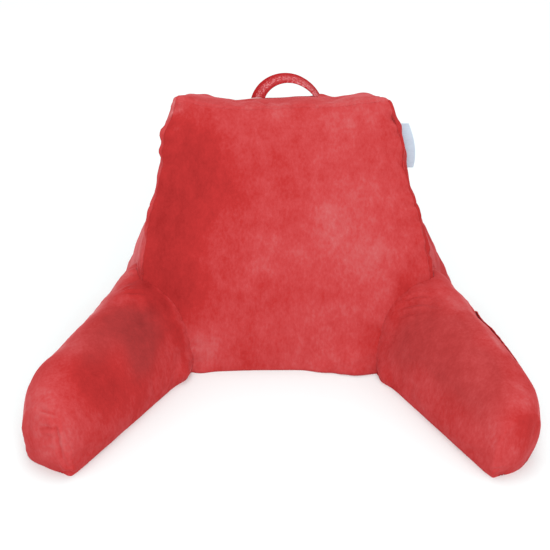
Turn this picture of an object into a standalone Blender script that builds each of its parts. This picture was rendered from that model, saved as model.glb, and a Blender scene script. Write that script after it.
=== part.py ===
"""Reading pillow with arms: a filled back cushion that leans back, two filled arms that spread
forwards from its lower corners, a carry strap, a blank side tab and a patch pocket.

Metres, +Z up. The front looks towards -Y, +X is the viewer's right, and the floor is z = 0.
"""

import math

import bmesh
import bpy
from mathutils import Vector

# Back cushion
FRONT_SLOPE = 0.356  # front panel, measured up its slope
BACK_LEAN = math.radians(25.0)  # of the front panel from the vertical
FRONT_WIDTH_FOOT = 0.405
FRONT_WIDTH_TOP = 0.267
DEPTH_FOOT = 0.185
DEPTH_TOP = 0.105  # square to the front panel
GUSSET_FLARE = {-1.0: 0.036, 1.0: 0.046}  # at the foot of each side, front seam to back seam
CROWN_FRONT = 0.016
CROWN_BACK = 0.030
CROWN_SIDE = 0.014
CROWN_TOP = 0.004
CROWN_FULLNESS = 2.2  # exponent: a higher one fills a panel closer to its seams
FLARE_FADE = 1.5  # exponents: how soon each of these fades up or down the slope
SAG_FADE = 6
CORNER_FADE = 10
FOOT_FADE = 4
TOP_SAG = 0.006  # of the top seams between the corners
CORNER_EAR = 0.009  # how far each top corner stands out at its seams
FOOT_FORWARD = 0.012  # how far the front foot seam is pushed out by what rests on it
FOOT_HOLLOW = 0.018  # how far the front foot seam curves back at its middle
BELOW_FLOOR = 0.014  # stuffing that the floor flattens
BACK_SHIFT = 0.0015  # of the back towards the viewer's right, between the arms
BACK_CUTS = 11  # in each edge of its cage

# Arms
ARM_REACH = 0.232  # of the inner foot seam, from the heel to the end
ARM_TAIL = 0.085  # what runs on behind the heel, under the back's side
ARM_FULLEST = 0.36  # share of its height at which an arm is widest
TOP_ROUND = 2.2  # exponents of the section above and below its widest level
FOOT_ROUND = 4.0
END_CROWN = 0.012
ARM_CUTS = 7  # in each edge of its cage

# Each arm: its side, the heel where its inner foot seam meets the back's foot, and its lie
ARMS = (
    # name, side, heel x, heel y, degrees from straight ahead, fullness
    ("arm_left", -1.0, 0.114, -0.006, 34.5, 1.00),
    ("arm_right", 1.0, 0.117, -0.006, 33.0, 0.96),
)

SEAM_GAP = 0.0004  # between pieces that are sewn together

# Carry strap
STRAP_WIDTH = 0.020
STRAP_THICK = 0.0024
STRAP_SPAN = 0.078  # between the middles of its feet
STRAP_RISE = 0.026  # above the top gusset
STRAP_SUNK = 0.012  # of each foot, inside the gusset
STRAP_X = 0.006  # of its middle
STRAP_LEAN = (math.radians(42.0), math.radians(16.0))  # of its width, at the left and right foot
STRAP_STEPS = 24
STRAP_LANES = 2

# Side tab, in the side seam on the viewer's right
TAB_RISE = 0.82  # share of the front's slope at the middle of the tab
TAB_DEPTH = 0.30  # share of the gusset's width behind the front seam
TAB_TALL = 0.057
TAB_OUT = 0.022
TAB_ROOT = 0.012  # inside the gusset
TAB_ROUND = 0.10  # share of its reach that its ends lose
TAB_CURL = 0.004
TAB_THICK = 0.0012
TAB_STEPS = 6
TAB_LANES = 3

# Patch pocket, on the outer side of one arm
POCKET_ARM = "arm_right"
POCKET_ENDS = (-0.42, 0.36)  # along the arm, in its cage's own measure from tail to end
POCKET_FOOT = -0.62  # up the arm's outer side, in its cage's own measure
POCKET_MOUTH = 0.92
POCKET_LAY = 0.0011  # over the arm, which is faceted
POCKET_GAPE = 0.0015  # more at its mouth
POCKET_THICK = 0.0015
POCKET_STEPS = 12
POCKET_LANES = 12

# Sections of an arm, from its tail to its end
ARM_SECTIONS = (
    # share of length, half width, height, lean outwards, inner edge drawn in
    (0.00, 0.062, 0.116, 0.34, 0.000),
    (0.27, 0.059, 0.115, 0.32, 0.000),
    (0.48, 0.053, 0.113, 0.22, 0.000),
    (0.70, 0.050, 0.108, 0.15, 0.000),
    (0.83, 0.048, 0.104, 0.12, 0.000),
    (0.93, 0.045, 0.096, 0.08, 0.000),
    (1.00, 0.038, 0.082, 0.04, 0.002),
)

# Tucks where the seams pull the outline in: on which edge, how far along it, depth, width
TUCKS = (
    ("side", 0.75, 0.003, 0.05),
    ("side", 0.92, 0.004, 0.04),
    ("top", -0.35, 0.003, 0.12),
    ("top", 0.45, 0.003, 0.12),
)

VELVET_RED = (0.56, 0.035, 0.035, 1.0)
STRAP_RED = (0.60, 0.055, 0.055, 1.0)
TAB_GREY = (0.56, 0.62, 0.70, 1.0)


def material(name, colour, roughness):
    """A cloth finish for one piece."""
    cloth = bpy.data.materials.new(name)
    cloth.use_nodes = True
    shader = cloth.node_tree.nodes["Principled BSDF"]
    shader.inputs["Base Color"].default_value = colour
    shader.inputs["Roughness"].default_value = roughness
    shader.inputs["Metallic"].default_value = 0.0
    cloth.diffuse_color = colour
    return cloth


def collection(name):
    """A new collection, linked to the scene."""
    made = bpy.data.collections.new(name)
    bpy.context.scene.collection.children.link(made)
    return made


def add_object(name, mesh, group, finish=None):
    """An object for a mesh, in a collection, with its finish."""
    made = bpy.data.objects.new(name, mesh)
    group.objects.link(made)
    if finish is not None:
        mesh.materials.append(finish)
    return made


def shaped_cube(name, cuts, place):
    """A gridded unit cube whose points are placed by a function of their cube coordinates."""
    cage = bmesh.new()
    bmesh.ops.create_cube(cage, size=2.0)
    bmesh.ops.subdivide_edges(cage, edges=cage.edges[:], cuts=cuts, use_grid_fill=True)
    for point in cage.verts:
        point.co = place(*point.co)
    if cage.calc_volume(signed=True) < 0.0:
        bmesh.ops.reverse_faces(cage, faces=cage.faces[:])
    mesh = bpy.data.meshes.new(name)
    cage.to_mesh(mesh)
    cage.free()
    for face in mesh.polygons:
        face.use_smooth = True
    return mesh


def blend(rows, share):
    """The row values at a share of the way along a table, eased between its rows."""
    for (start, *low), (end, *high) in zip(rows, rows[1:]):
        if share <= end:
            step = min(max((share - start) / (end - start), 0.0), 1.0)
            step = step * step * (3.0 - 2.0 * step)
            return [a + (b - a) * step for a, b in zip(low, high)]
    return list(rows[-1][1:])


def crown(a, b, height):
    """How far stuffing lifts a panel at (a, b), each from -1 to 1 between its seams."""
    return height * (1.0 - abs(a) ** CROWN_FULLNESS) * (1.0 - abs(b) ** CROWN_FULLNESS)


def tuck_depth(edge, along):
    """How far the tucks of an edge pull it in, at a place along it."""
    return sum(
        depth * math.exp(-(((along - where) / width) ** 2))
        for tucked, where, depth, width in TUCKS
        if tucked == edge
    )


def slope_way():
    """The way up the front panel."""
    return Vector((0.0, math.sin(BACK_LEAN), math.cos(BACK_LEAN)))


def through_way():
    """The way through the back cushion, square to its front panel."""
    return Vector((0.0, math.cos(BACK_LEAN), -math.sin(BACK_LEAN)))


def front_half_width(rise):
    """Half the front panel's width at a share of its slope."""
    return (FRONT_WIDTH_FOOT + (FRONT_WIDTH_TOP - FRONT_WIDTH_FOOT) * rise) / 2.0


def backrest_point(u, v, w):
    """A point of the back cushion: u across, v from floor to top, w from front to back."""
    rise = (v + 1.0) / 2.0
    depth_share = (w + 1.0) / 2.0
    level_way = Vector((0.0, 1.0, 0.0))
    depth = DEPTH_FOOT + (DEPTH_TOP - DEPTH_FOOT) * rise
    point = slope_way() * (FRONT_SLOPE * rise)
    point += level_way.lerp(through_way(), rise) * (depth * depth_share)
    flare = GUSSET_FLARE[math.copysign(1.0, u)] * depth_share * (1.0 - rise) ** FLARE_FADE
    point.x = BACK_SHIFT + u * (front_half_width(rise) + flare - tuck_depth("side", rise))

    # The panels' crowns
    if w == -1.0:
        point -= through_way() * crown(u, v, CROWN_FRONT)
    if w == 1.0:
        point += through_way() * crown(u, v, CROWN_BACK)
    if abs(u) == 1.0:
        point.x += u * crown(v, w, CROWN_SIDE)
    if v == 1.0:
        point += slope_way() * crown(u, w, CROWN_TOP)

    # The top sags between corners that stand out at their seams
    corner = (abs(u) * rise) ** CORNER_FADE
    point.x += math.copysign(CORNER_EAR * corner, u)
    sag = TOP_SAG * (1.0 - u * u) + tuck_depth("top", u)
    point += slope_way() * (CORNER_EAR * corner - sag * rise ** SAG_FADE)

    # The foot spreads, and its front seam curves back at its middle
    foot = (1.0 - rise) ** FOOT_FADE
    point.y -= (FOOT_FORWARD - FOOT_HOLLOW * (1.0 - u * u)) * foot * (1.0 - depth_share)
    point -= slope_way() * (BELOW_FLOOR * foot)
    return point


def arm_ways(side, splay):
    """The level ways along an arm to its end, and outwards across it."""
    turn = math.radians(splay)
    ahead = Vector((side * math.sin(turn), -math.cos(turn), 0.0))
    outwards = Vector((side * math.cos(turn), math.sin(turn), 0.0))
    return ahead, outwards


def arm_point(side, heel_x, heel_y, splay, fullness):
    """The function that places a point of an arm: u across, v up, w from tail to end."""
    heel = Vector((side * heel_x, heel_y, 0.0))
    ahead, outwards = arm_ways(side, splay)

    def place(u, v, w):
        along = math.sin((w + 1.0) * math.pi / 4.0)
        half, height, lean, drawn = blend(ARM_SECTIONS, along)
        half *= fullness
        fullest = ARM_FULLEST * height
        power, rise = FOOT_ROUND, fullest + BELOW_FLOOR
        if v > 0.0:
            power, rise = TOP_ROUND, height - fullest
        reach = max(abs(u), abs(v))
        rounding = 0.0
        if reach > 0.0:
            rounding = reach / (abs(u) ** power + abs(v) ** power) ** (1.0 / power)
        level = fullest + v * rounding * rise
        point = heel + ahead * (ARM_REACH * along - ARM_TAIL * (1.0 - along))
        point += outwards * (drawn + half * (1.0 + u * rounding) + lean * level)
        point.z = level
        if w == 1.0:
            point += ahead * crown(u, v, END_CROWN)
        return point

    return place


def strap_point(along, across):
    """A point of the carry strap's middle layer, each coordinate from -1 to 1."""
    turn = (1.0 - along) * math.pi / 2.0
    radial = Vector((math.cos(turn), 0.0, 0.0)) + slope_way() * math.sin(turn)
    share = (along + 1.0) / 2.0
    lean = STRAP_LEAN[0] + (STRAP_LEAN[1] - STRAP_LEAN[0]) * share
    middle = slope_way() * FRONT_SLOPE + through_way() * (DEPTH_TOP / 2.0)
    middle.x = STRAP_X
    arch = Vector((math.cos(turn) * STRAP_SPAN / 2.0, 0.0, 0.0))
    arch += slope_way() * (math.sin(turn) * (STRAP_RISE + STRAP_SUNK) - STRAP_SUNK)
    width_way = through_way() * math.cos(lean) + radial * math.sin(lean)
    return middle + arch + width_way * (across * STRAP_WIDTH / 2.0)


def tab_point(along, out):
    """A point of the side tab's middle layer, each coordinate from -1 to 1."""
    rise = TAB_RISE + along * TAB_TALL / 2.0 / FRONT_SLOPE
    share = (out + 1.0) / 2.0
    reach = TAB_OUT * (1.0 - TAB_ROUND * along * along)
    point = slope_way() * (FRONT_SLOPE * rise) + through_way() * (DEPTH_TOP * TAB_DEPTH)
    point.x = front_half_width(rise) - TAB_ROOT + (TAB_ROOT + reach) * share
    return point + through_way() * (TAB_CURL * along * along * share)


def soften(piece, levels=1):
    """Round a cage off as stuffing does."""
    smooth = piece.modifiers.new("Soft form", "SUBSURF")
    smooth.levels = levels
    smooth.render_levels = levels


def cut_by(piece, cutter, name):
    """Take a cutter's space out of a piece."""
    cut = piece.modifiers.new(name, "BOOLEAN")
    cut.operation = "DIFFERENCE"
    cut.solver = "EXACT"
    cut.object = cutter


def hide(guide):
    """Keep a cutter out of the model."""
    guide.hide_render = True
    guide.display_type = "WIRE"


def floor_block(cutters):
    """The floor, as a block that flattens what rests on it."""
    block = bmesh.new()
    bmesh.ops.create_cube(block, size=2.0)
    bmesh.ops.translate(block, verts=block.verts[:], vec=(0.0, 0.0, -1.0))
    mesh = bpy.data.meshes.new("floor_block")
    block.to_mesh(mesh)
    block.free()
    floor = add_object("floor_block", mesh, cutters)
    hide(floor)
    return floor


def seam_guide(backrest, cutters):
    """The back cushion grown by the seam gap, which trims the pieces sewn to it."""
    guide = add_object("seam_guide", backrest.data.copy(), cutters)
    soften(guide)
    grow = guide.modifiers.new("Seam gap", "DISPLACE")
    grow.strength = SEAM_GAP
    grow.mid_level = 0.0
    hide(guide)
    return guide


def make_backrest(model):
    """The filled back cushion, before the floor flattens its foot."""
    mesh = shaped_cube("backrest", BACK_CUTS, backrest_point)
    piece = add_object("backrest", mesh, model, material("backrest", VELVET_RED, 0.85))
    soften(piece)
    return piece


def make_arm(name, lie, model):
    """One filled arm, before it is trimmed to the floor and to its root seam."""
    mesh = shaped_cube(name, ARM_CUTS, arm_point(*lie))
    piece = add_object(name, mesh, model, material(name, VELVET_RED, 0.85))
    soften(piece)
    return piece


def make_sheet(name, steps, lanes, place, model, finish):
    """A flat cloth piece: a gridded plane placed by a function."""
    grid = bmesh.new()
    bmesh.ops.create_grid(grid, x_segments=steps, y_segments=lanes, size=1.0)
    for point in grid.verts:
        point.co = place(point.co.x, point.co.y)
    mesh = bpy.data.meshes.new(name)
    grid.to_mesh(mesh)
    grid.free()
    return add_object(name, mesh, model, finish)


def solidify(piece, thick, offset):
    """Give a sheet its thickness, about its middle (0) or outwards (1)."""
    wall = piece.modifiers.new("Thickness", "SOLIDIFY")
    wall.thickness = thick
    wall.offset = offset


def make_pocket(arm, lie, model):
    """A patch laid on the outer side of an arm, standing open a little along its upper edge."""
    place = arm_point(*lie)
    low, high = POCKET_ENDS

    def patch_point(along, up):
        w = high + (low - high) * (along + 1.0) / 2.0
        v = POCKET_FOOT + (POCKET_MOUTH - POCKET_FOOT) * (up + 1.0) / 2.0
        return place(1.0, v, w)

    cloth = material("side_pocket", VELVET_RED, 0.85)
    piece = make_sheet("side_pocket", POCKET_STEPS, POCKET_LANES, patch_point, model, cloth)
    lay = piece.modifiers.new("Laid on the arm", "SHRINKWRAP")
    lay.target = arm
    lay.wrap_mode = "ABOVE_SURFACE"
    lay.offset = POCKET_LAY
    mouth = piece.vertex_groups.new(name="mouth")
    row = (POCKET_STEPS + 1) * POCKET_LANES
    mouth.add(list(range(row, len(piece.data.vertices))), 1.0, "REPLACE")
    gape = piece.modifiers.new("Mouth", "DISPLACE")
    gape.vertex_group = mouth.name
    gape.strength = POCKET_GAPE
    gape.mid_level = 0.0
    solidify(piece, POCKET_THICK, 1.0)


def centre(model, cutters):
    """Hang every piece and cutter on an empty, so that the origin is under the whole's middle."""
    bpy.context.view_layer.update()
    shapes = bpy.context.evaluated_depsgraph_get()
    solids = [piece.evaluated_get(shapes) for piece in model.objects]
    corners = [corner for solid in solids for corner in solid.bound_box]
    stand = add_object("pillow_stand", None, cutters)
    for axis in (0, 1):
        values = [corner[axis] for corner in corners]
        stand.location[axis] = -(min(values) + max(values)) / 2.0
    for piece in (*model.objects, *cutters.objects):
        if piece is not stand:
            piece.parent = stand


def main():
    for old in list(bpy.data.objects):
        bpy.data.objects.remove(old, do_unlink=True)
    model = collection("reading_pillow")
    cutters = collection("cutters")
    floor = floor_block(cutters)
    backrest = make_backrest(model)
    guide = seam_guide(backrest, cutters)
    cut_by(backrest, floor, "Flat on the floor")
    for name, *lie in ARMS:
        arm = make_arm(name, lie, model)
        if name == POCKET_ARM:
            make_pocket(arm, lie, model)
        cut_by(arm, floor, "Flat on the floor")
        cut_by(arm, guide, "Root seam")
    cloth = material("carry_handle", STRAP_RED, 0.8)
    strap = make_sheet("carry_handle", STRAP_STEPS, STRAP_LANES, strap_point, model, cloth)
    solidify(strap, STRAP_THICK, 0.0)
    cut_by(strap, guide, "Foot seam")
    cloth = material("side_label", TAB_GREY, 0.7)
    tab = make_sheet("side_label", TAB_STEPS, TAB_LANES, tab_point, model, cloth)
    solidify(tab, TAB_THICK, 0.0)
    cut_by(tab, guide, "Root seam")
    centre(model, cutters)


main()
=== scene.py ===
"""A reading pillow with arms in red short-pile velvet: a filled back cushion, two filled arms
sewn to its lower corners, a carry strap, a blank side tab and a patch pocket on the outer side
of one arm.

Metres, +Z up, in the frame's own axes. The front looks towards -Y and +X is the viewer's right.
"""

import math

import bmesh
import bpy
import numpy as np
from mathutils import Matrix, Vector, noise
from mathutils.bvhtree import BVHTree
from mathutils.kdtree import KDTree


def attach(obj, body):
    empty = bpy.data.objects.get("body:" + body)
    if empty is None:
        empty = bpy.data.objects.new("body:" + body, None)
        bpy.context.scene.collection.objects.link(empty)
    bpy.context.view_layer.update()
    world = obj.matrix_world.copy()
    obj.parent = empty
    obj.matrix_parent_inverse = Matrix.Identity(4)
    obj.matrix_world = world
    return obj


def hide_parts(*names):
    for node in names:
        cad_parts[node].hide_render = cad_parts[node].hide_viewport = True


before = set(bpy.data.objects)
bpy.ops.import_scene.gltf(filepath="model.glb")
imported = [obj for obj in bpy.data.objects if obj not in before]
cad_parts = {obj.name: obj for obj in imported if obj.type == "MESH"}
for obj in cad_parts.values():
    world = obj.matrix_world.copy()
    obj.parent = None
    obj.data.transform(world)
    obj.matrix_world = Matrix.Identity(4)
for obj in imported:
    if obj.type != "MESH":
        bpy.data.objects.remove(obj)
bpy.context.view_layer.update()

# Camera, which stands where the picture was taken from
PICTURE = 550  # pixels, each way
EYE = Vector((-0.0075, -1.2632, 1.0219))
EYE_DOWN = math.radians(35.0)
FOCAL_PIXELS = 1220.0
SENSOR = 0.036
SEARCH_FROM = 1.2  # from the camera, for a place just past a piece's outline
SEARCH_STEP = 0.01
SEARCH_STEPS = 80

# Stage
FLOOR_SIZE = 12.0
FLOOR_COLOUR = (0.80, 0.87, 0.87, 1.0)
STUDIO_GLOW = 1.05
LIGHTS = (
    # name, place, size, watts
    ("key_light", (0.1, -2.0, 1.4), 1.8, 26.0),
    ("top_light", (0.0, 0.5, 2.6), 1.2, 11.0),
)
LIGHTS_AIM = Vector((0.0, 0.0, 0.1))

# Back cushion
FRONT_SLOPE = 0.356  # front panel, measured up its slope
BACK_LEAN = math.radians(25.0)
FRONT_WIDTH_FOOT = 0.417
FRONT_WIDTH_TOP = 0.267
DEPTH_FOOT = 0.185
DEPTH_TOP = 0.105
GUSSET_FLARE = {-1.0: 0.040, 1.0: 0.050}  # at the foot of each side, front to back seam
CROWN_FRONT = 0.016
CROWN_BACK = 0.030
CROWN_SIDE = 0.003
CROWN_TOP = 0.004
CROWN_FULLNESS = 2.2  # exponent: a higher one fills a panel closer to its seams
FLARE_FADE = 2.2  # exponents: how soon each fades up or down the slope
SAG_FADE = 6
CORNER_FADE = 10
FOOT_FADE = 4
TOP_SAG = 0.006  # of the top seams between the corners
CORNER_EAR = {-1.0: 0.008, 1.0: 0.003}  # how far each top corner stands out
FOOT_FORWARD = 0.012
FOOT_HOLLOW = 0.018
BELOW_FLOOR = 0.014  # stuffing that the floor flattens
BACK_SHIFT = 0.0015  # towards the viewer's right
BACK_CUTS = 13  # in each edge of its cage

# Arms
ARM_REACH = 0.232  # from the heel to the end
ARM_TAIL = 0.085  # what runs on behind the heel
ARM_FULLEST = 0.36  # share of its height at which an arm is widest
TOP_ROUND = 2.2  # exponents of the section above and below its widest level
FOOT_ROUND = 4.0
END_CROWN = 0.0105
ARM_BELOW_FLOOR = 0.011
ARM_CUTS = 9
ARM_HALF = 0.05  # about half its width, for places on its cage
ARM_LONG = 0.3  # about its length, for the same
ARMS = (
    # name, node, side, heel x, heel y, degrees from straight ahead, fullness, squareness of its
    # outer foot at the end
    ("left_arm_cushion", "arm_left", -1.0, 0.114, -0.006, 34.5, 1.00, 4.0),
    ("right_arm_cushion", "arm_right", 1.0, 0.117, -0.006, 33.0, 0.96, 1.9),
)
ARM_SECTIONS = (
    # share of length, half width, height, lean outwards, inner edge drawn in
    (0.00, 0.062, 0.116, 0.34, 0.000),
    (0.27, 0.059, 0.115, 0.32, 0.000),
    (0.48, 0.053, 0.113, 0.22, 0.000),
    (0.70, 0.050, 0.108, 0.15, 0.000),
    (0.83, 0.048, 0.104, 0.12, 0.000),
    (0.93, 0.045, 0.096, 0.08, 0.000),
    (1.00, 0.038, 0.082, 0.04, 0.002),
)
TUCKS = (
    # edge, how far along it, depth, width; a depth below 0 stands out
    ("side", 0.68, 0.004, 0.09),
    ("side", 0.39, -0.006, 0.06),
    ("side", 0.86, -0.006, 0.06),
    ("side", 0.96, 0.0065, 0.05),
    ("top", -0.42, 0.006, 0.16),
    ("top", -0.75, 0.0030, 0.18),
    ("top", -0.07, 0.0035, 0.15),
    ("top", 0.45, 0.003, 0.12),
)

LIP_REACH = 0.40  # share of the depth
FRONT_LIPS = {
    # share of the slope, how far out
    -1.0: (
        (0.30, 0.002), (0.38, 0.0035), (0.45, 0.0085), (0.52, 0.013), (0.60, 0.0145),
        (0.70, 0.0120), (0.80, 0.008), (0.90, 0.0045), (1.0, 0.0035),
    ),
    1.0: (
        (0.30, 0.010), (0.45, 0.0135), (0.50, 0.0155), (0.62, 0.0155), (0.75, 0.009),
        (0.85, 0.0055), (1.0, 0.004),
    ),
}

# Carry strap
STRAP_WIDTH = 0.022
STRAP_HALF_THICK = 0.0009
STRAP_EDGE = 0.0010  # how much thicker its turned edges are, each way
STRAP_SPAN = 0.078
STRAP_RISE = 0.024
STRAP_SUNK = 0.012
STRAP_X = 0.006
STRAP_FOOT_OUT = 0.006  # how far its right foot steps out
STRAP_LEAN = (math.radians(54.0), math.radians(12.0))  # of its width, at each foot
STRAP_STEPS = 90
STRAP_ROUND = 48
STRAP_HEM = (0.84, 0.13)  # share of its half width where its edges are thickest, and over what
STRAP_STITCH = (0.62, 0.06)
STRAP_STITCH_DEPTH = 0.0003
STRAP_TRACE = 200  # steps along its middle line
STRAP_NAP = 0.12
STRAP_OUTER = (0.25, 0.22, 1.35)  # where its darker outer edge starts, over what, how much darker
STRAP_INNER = (0.42, 0.20, 1.25)

# Side tab, a short tape folded double
TAB_RISE = 0.825
TAB_DEPTH = 0.30
TAB_TALL = 0.057
TAB_OUT = 0.0255
TAB_ROOT = 0.012
TAB_ROUND = 0.10
TAB_SLANT = 0.20  # share of its reach that its lower end loses
TAB_CURL = 0.004
TAB_TAPE = 0.0005
TAB_APART = 0.00042  # from the middle of the fold to each layer
TAB_FOLD = 0.04  # share of its reach in which its layers close
TAB_GRID = (28, 80)

# Patch pocket
POCKET_ENDS = (-0.50, 0.27)  # along the arm's cage, from tail to end
POCKET_FOOT = -0.62  # up the arm's cage
POCKET_MOUTH = 0.92
POCKET_GRID = (64, 56)
POCKET_LAY = 0.0004  # over the arm
POCKET_THICK = 0.0014
POCKET_GAPE = 0.0022
POCKET_DROP = 0.50  # how much lower the front end of its mouth is
POCKET_OPEN = 0.72  # share of the mouth, from the tail's end, that stands open
POCKET_ROUND = 0.40  # how much lower the tail end of its mouth is
POCKET_HEM = 0.10  # share of its height that its hem takes
POCKET_HEM_STEP = 0.0003
POCKET_STITCH = 0.05  # from its edges
POCKET_STITCH_WIDTH = 0.015
POCKET_STITCH_DEPTH = 0.0003
POCKET_SLACK = 0.20  # share of its height that its open mouth draws out
POCKET_FULLNESS = 0.0008
POCKET_NAP = 0.30
POCKET_MOUTH_SHADE = -0.60  # painted shade at its mouth, added to the rest

# From the cushions' own axes, which these numbers are in, to the frame's
MIDDLE = Vector((0.00177, -0.02549, 0.0))

SEAM_GAP = 0.0004  # between pieces that are sewn together
SEAM_DEPTH = 0.0014
SEAM_HALF_WIDTH = 0.0022
PUCKER_DEPTH = 0.0026
PUCKER_REACH = 0.010
PUCKER_SPACING = 0.017
PUCKER_NARROW = 3.0
PUCKER_TUG = 0.35  # share of a pucker's depth by which the cover between two stands out
RIPPLE_DEPTH = 0.0026
RIPPLE_SPACING = 0.010
END_SEAM = {"left_arm_cushion": 0.35, "right_arm_cushion": 0.0}  # share of a full seam's depth
END_SEAM_TOP = 0.85  # up the cage, from where it fades in downwards
END_SEAM_FADE = 0.5
END_SPREAD = 0.06  # from an end panel's seam to its middle, for its puckers
RIM_LEAST = 0.3
SIDE_SEAM = 0.4
SIDE_SEAM_END = 0.9  # share of the arm's length
ROOT_DEPTH = {
    "back_cushion": 0.0012,
    "left_arm_cushion": 0.0017,
    "right_arm_cushion": 0.0024,
}
ROOT_REACH = 0.0080
ROOT_PUCKER_DEPTH = 0.0015
ROOT_PUCKER_REACH = 0.016
ROOT_PUCKER_SPACING = 0.020
ROOT_PUCKER_NARROW = 3.2
ROOT_LONGER_SPACING = 0.045
ROOT_WAVE_DEPTH = 0.0010
ROOT_WAVE_REACH = 0.030
ROOT_FAR = 0.08  # nothing is drawn in further from the root than this
ROOT_SHARP = math.radians(50.0)
MOST_DULL = 0.65
NAP_AND_LIGHT_RANGE = (-1.8, 2.0)
RAMP_RANGE = (-0.4, 1.5)  # where a pile's ramps start and end
PILE_BUMP = 0.0006
ON_FLOOR = 0.00005  # a point this low lies on the floor
ON_PANEL = 0.9999  # a point past this on its cage lies on that panel
FAR_OFF = 9.0  # from a seam that doesn't reach a point
UNEVEN = ((0.0008, 0.050, 11.0), (0.0004, 0.018, 12.0))  # of stuffing: height, spacing, seed
CREASE_LIP = 0.45  # how high cloth stands beside a crease, as a share of its depth
CREASE_LIP_AT = 2.2  # half widths from its middle

# Simulated cloth
SIM_STEPS = 20
SIM_QUALITY = 6
SIM_MASS = 0.3
SIM_STRETCH = 12.0
SIM_SHEAR = 4.0
SIM_BEND = 0.4
SIM_PRESSURE = 4.0
SIM_GROWTH = 0.012  # how much wider than its cage the cover is
SIM_FADE = 0.16  # share of an arm's length over which its simulated moves fade out
BACK_BULGE = 0.006  # more than a simulated move can reach
ARM_BULGE = 0.005
HELD_SEAM = 0.0005  # cover this near a seam of the back can't move
HELD_LEVEL = 0.002  # nor can cover this low
HELD_TAIL = -0.6  # nor an arm's, from here on its cage to its tail

# Where the stuffing of each piece stands out or sinks in: place in the picture, radius, height
LUMPS = {
    "back_cushion": (
        (206, 94, 0.009, 0.0024), (183, 95, 0.010, -0.0035), (225, 96, 0.012, -0.0015),
        (248, 100, 0.010, -0.0020), (265, 101, 0.007, -0.0040), (283, 101, 0.014, -0.0015),
        (321, 95, 0.010, 0.0040), (336, 98, 0.008, -0.0020), (362, 94, 0.014, 0.0025),
        (375, 96, 0.006, -0.0025), (394, 118, 0.008, -0.0022), (400, 124, 0.008, 0.0022),
        (399, 131, 0.006, -0.0012), (404, 165, 0.009, -0.0020), (168, 116, 0.008, -0.0012),
        (162, 132, 0.010, 0.0035), (161, 142, 0.006, -0.0015), (160, 151, 0.008, 0.0028),
        (161, 166, 0.008, -0.0012), (142, 226, 0.014, -0.0015), (130, 262, 0.014, 0.0020),
        (441, 262, 0.036, 0.0052), (406, 153, 0.010, 0.0030), (354, 371, 0.032, 0.0110),
        (320, 372, 0.014, 0.0040), (201, 372, 0.014, 0.0040),
    ),
    "left_arm_cushion": (
        (184, 373, 0.014, 0.0072), (57, 470, 0.013, -0.0020), (116, 282, 0.026, -0.0085),
        (101, 302, 0.018, -0.0025), (132, 289, 0.016, 0.0025), (31, 458, 0.014, 0.0040),
        (30, 385, 0.022, 0.0030), (42, 368, 0.022, 0.0040), (23, 430, 0.020, 0.0015),
    ),
    "right_arm_cushion": (
        (457, 288, 0.014, -0.0018), (474, 307, 0.022, 0.0040), (487, 324, 0.024, 0.0036),
        (502, 345, 0.026, 0.0036), (519, 368, 0.022, 0.0025), (384, 377, 0.013, 0.0060),
        (500, 475, 0.014, -0.0030), (532, 388, 0.016, 0.0025), (533, 452, 0.024, -0.0030),
    ),
}

# Each piece's creases: depth, half width, and where each runs in the picture
CREASES = {
    "back_cushion": (
        (0.0013, 0.0028, ((161, 127), (169, 119), (178, 113), (188, 109))),
        (0.0012, 0.0026, ((164, 138), (174, 131), (183, 128))),
        (0.0014, 0.0026, ((171, 111), (177, 107), (186, 106))),
        (0.0010, 0.0026, ((396, 119), (390, 115), (384, 113))),
        (0.0012, 0.0030, ((345, 376), (352, 366), (362, 360), (378, 357))),
        (0.0010, 0.0030, ((330, 374), (341, 365), (352, 360))),
        (0.0028, 0.0034, ((422, 220), (425, 236), (429, 252), (434, 268))),
        (0.0014, 0.0026, ((264, 101), (268, 106), (276, 109))),
    ),
    "left_arm_cushion": (
        (0.0030, 0.0024, ((125, 273), (130, 271), (136, 272))),
        (0.0020, 0.0024, ((122, 288), (126, 287), (130, 287))),
        (0.0026, 0.0022, ((123, 293), (133, 293), (148, 293))),
        (0.0014, 0.0032, ((131, 325), (145, 321), (164, 318))),
        (0.0019, 0.0028, ((53, 396), (54, 411), (56, 428), (58, 441), (62, 457), (72, 474))),
        (0.0018, 0.0028, ((36, 409), (45, 411), (53, 413))),
        (0.0018, 0.0028, ((36, 428), (45, 427), (54, 429))),
        (0.0014, 0.0028, ((36, 440), (47, 437), (56, 437))),
        (0.0012, 0.0028, ((34, 453), (46, 449), (58, 448))),
        (0.0022, 0.0024, ((64, 473), (70, 472), (76, 474))),
    ),
    "right_arm_cushion": (
        (0.0028, 0.0030, ((398, 309), (412, 304), (427, 303), (440, 307))),
        (0.0022, 0.0028, ((396, 317), (409, 313), (424, 312))),
        (0.0020, 0.0026, ((404, 300), (416, 296), (430, 296))),
        (0.0014, 0.0026, ((486, 474), (494, 470), (503, 469))),
    ),
}

# Whole panels painted lighter or darker, partly for how their pile lies and partly as painted
# light: the lit left and shaded right side gussets of the back, and painted sheen on its top
# gusset and on the arms' outer sides. Columns: the cage's axis, which side of it, lighter or
# darker
PANELS = {
    "back_cushion": ((0, -1.0, 0.75), (0, 1.0, -0.45), (1, 1.0, 0.20)),
    "left_arm_cushion": ((0, 1.0, 0.60),),
    "right_arm_cushion": ((0, 1.0, 0.45),),
}
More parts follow.
